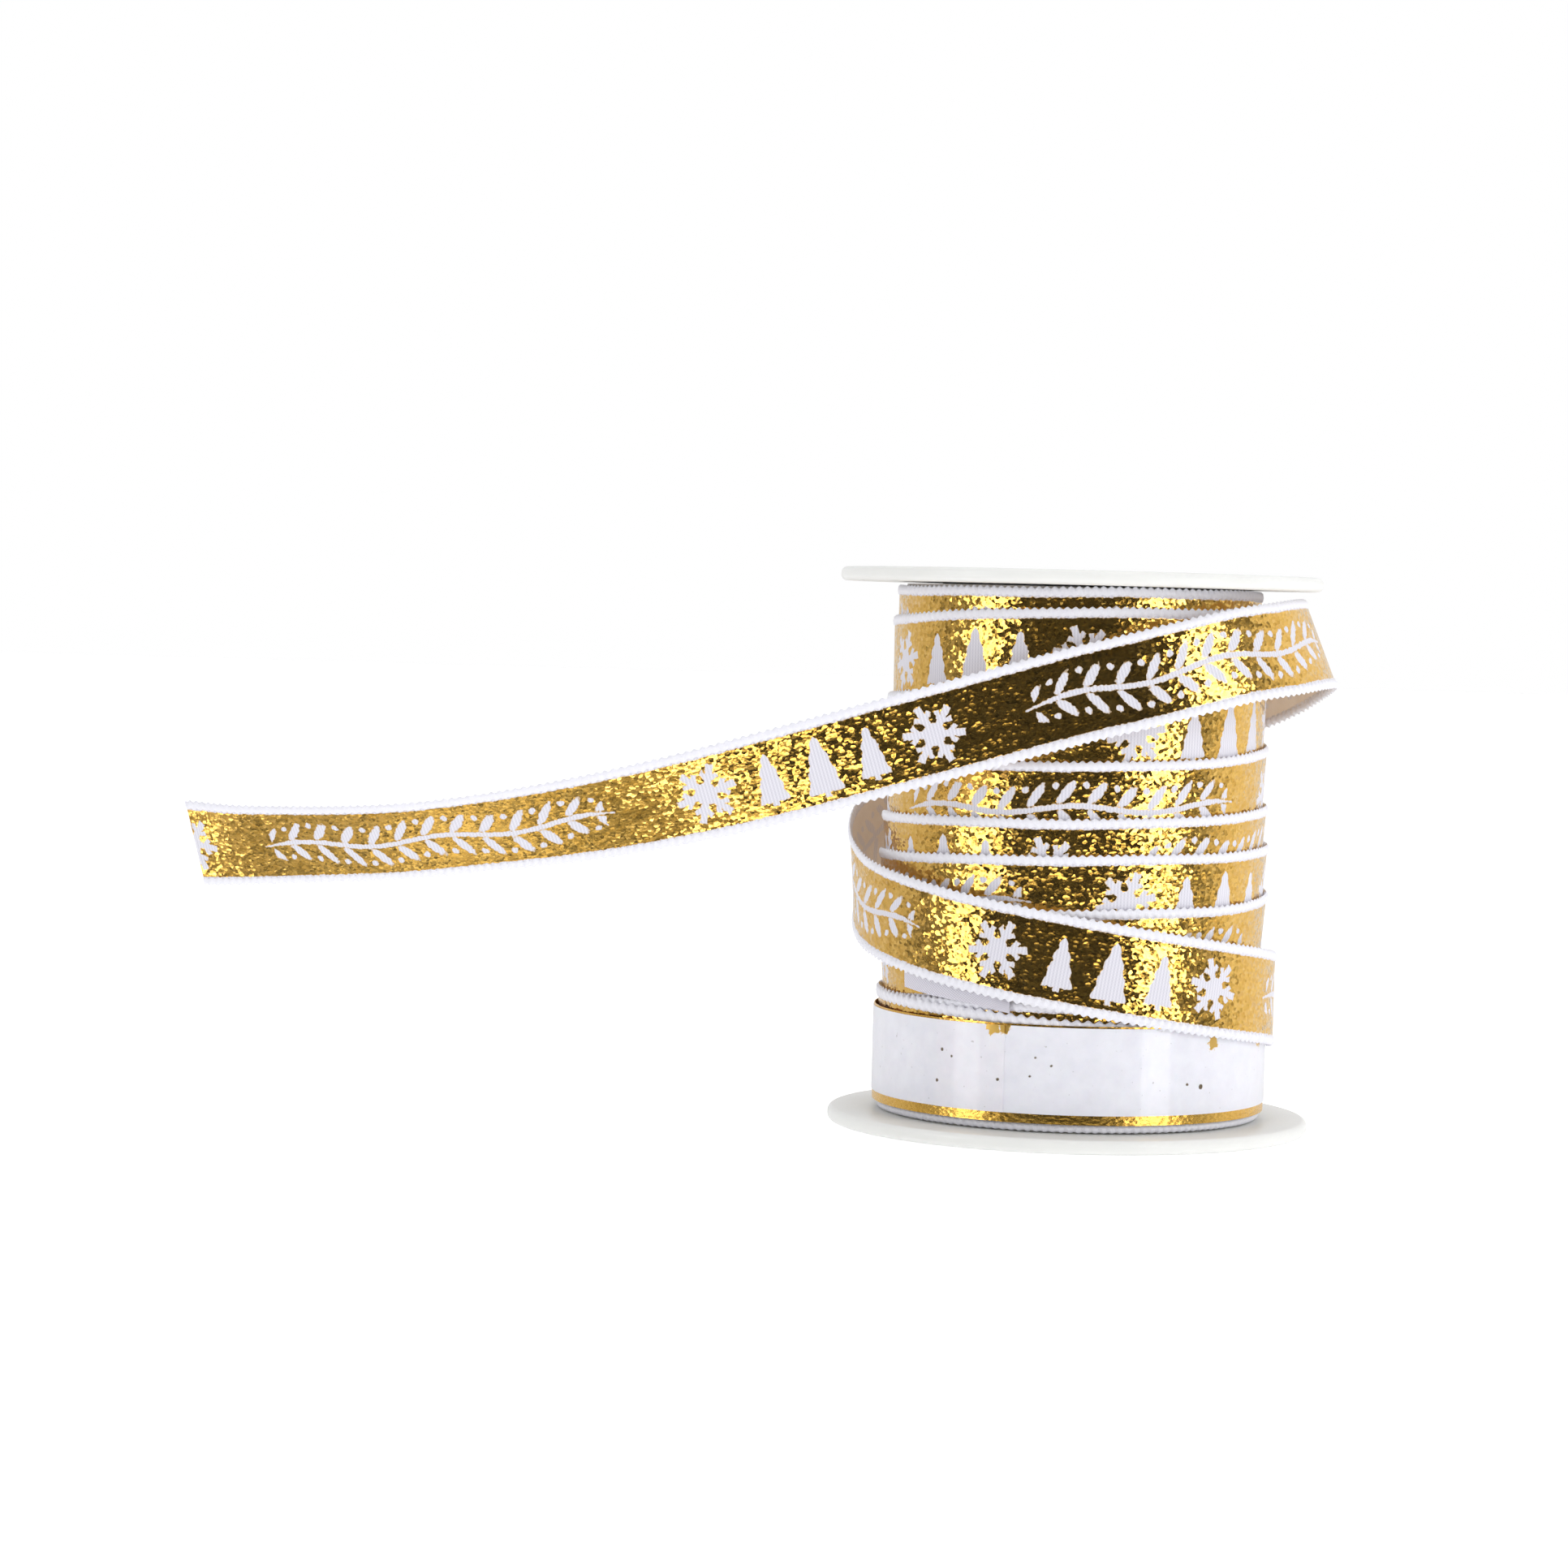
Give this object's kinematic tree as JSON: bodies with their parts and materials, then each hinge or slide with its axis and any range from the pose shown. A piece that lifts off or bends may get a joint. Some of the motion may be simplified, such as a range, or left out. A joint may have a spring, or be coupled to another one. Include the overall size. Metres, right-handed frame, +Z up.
{
  "type": "ribbon spool",
  "caption": "Plastic spool wound with narrow gold-printed satin gift ribbon, with a loose outer coil and a free tail.",
  "frame": {"origin": "centre of the underside of the lower flange, on the spindle bore's axis", "axes": "+Z up along the bore axis; -Y towards the front that the ribbon's tail crosses; the tail reaches out towards -X"},
  "size_m": [0.1237, 0.052, 0.06],
  "materials": {
    "spool_plastic": "satin",
    "printed_ribbon": "satin",
    "ribbon_reverse": "satin",
    "gold_film": "gloss",
    "label": "gloss",
    "tape": "gloss"
  },
  "bodies": {
    "spool": {"lower_flange": "spool_plastic", "upper_flange": "spool_plastic", "core_tube": "spool_plastic", "start_tape": "tape", "ribbon_inner_winding": "printed_ribbon", "ribbon_turn_1": "printed_ribbon", "ribbon_turn_2": "printed_ribbon", "ribbon_turn_3": "printed_ribbon", "ribbon_turn_4": "printed_ribbon", "ribbon_turn_5": "printed_ribbon", "ribbon_turn_6": "printed_ribbon", "ribbon_turn_7": "printed_ribbon", "ribbon_turn_8": "printed_ribbon", "ribbon_banded_turn": "printed_ribbon", "ribbon_flap": "ribbon_reverse", "holding_band": "gold_film", "band_label": "label"},
    "loose_coil": {"loose_loop": "printed_ribbon", "loose_diagonal": "printed_ribbon", "tail_root": "printed_ribbon"},
    "tail_inner": {"tail_link_1": "printed_ribbon"},
    "tail_middle": {"tail_link_2": "printed_ribbon"},
    "tail_end": {"tail_link_3": "printed_ribbon"}
  },
  "joints": [
    {"name": "unwind_turn", "type": "hinge", "parent": "spool", "child": "loose_coil", "pos_m": [0, 0, 0], "axis": [0, 0, 1], "continuous": true},
    {"name": "tail_bend_1", "type": "hinge", "parent": "loose_coil", "child": "tail_inner", "pos_m": [-0.0315, -0.0221, 0.0377], "axis": [-0.2764, -0.2002, 0.94], "range_deg": [-25, 25], "stiffness_Nm_per_rad": 0.0005},
    {"name": "tail_bend_2", "type": "hinge", "parent": "tail_inner", "child": "tail_middle", "pos_m": [-0.051, -0.0209, 0.0328], "axis": [-0.2307, -0.4452, 0.8652], "range_deg": [-25, 25], "stiffness_Nm_per_rad": 0.0005},
    {"name": "tail_bend_3", "type": "hinge", "parent": "tail_middle", "child": "tail_end", "pos_m": [-0.072, -0.017, 0.0295], "axis": [-0.2455, -0.5394, 0.8055], "range_deg": [-25, 25], "stiffness_Nm_per_rad": 0.0005}
  ]
}
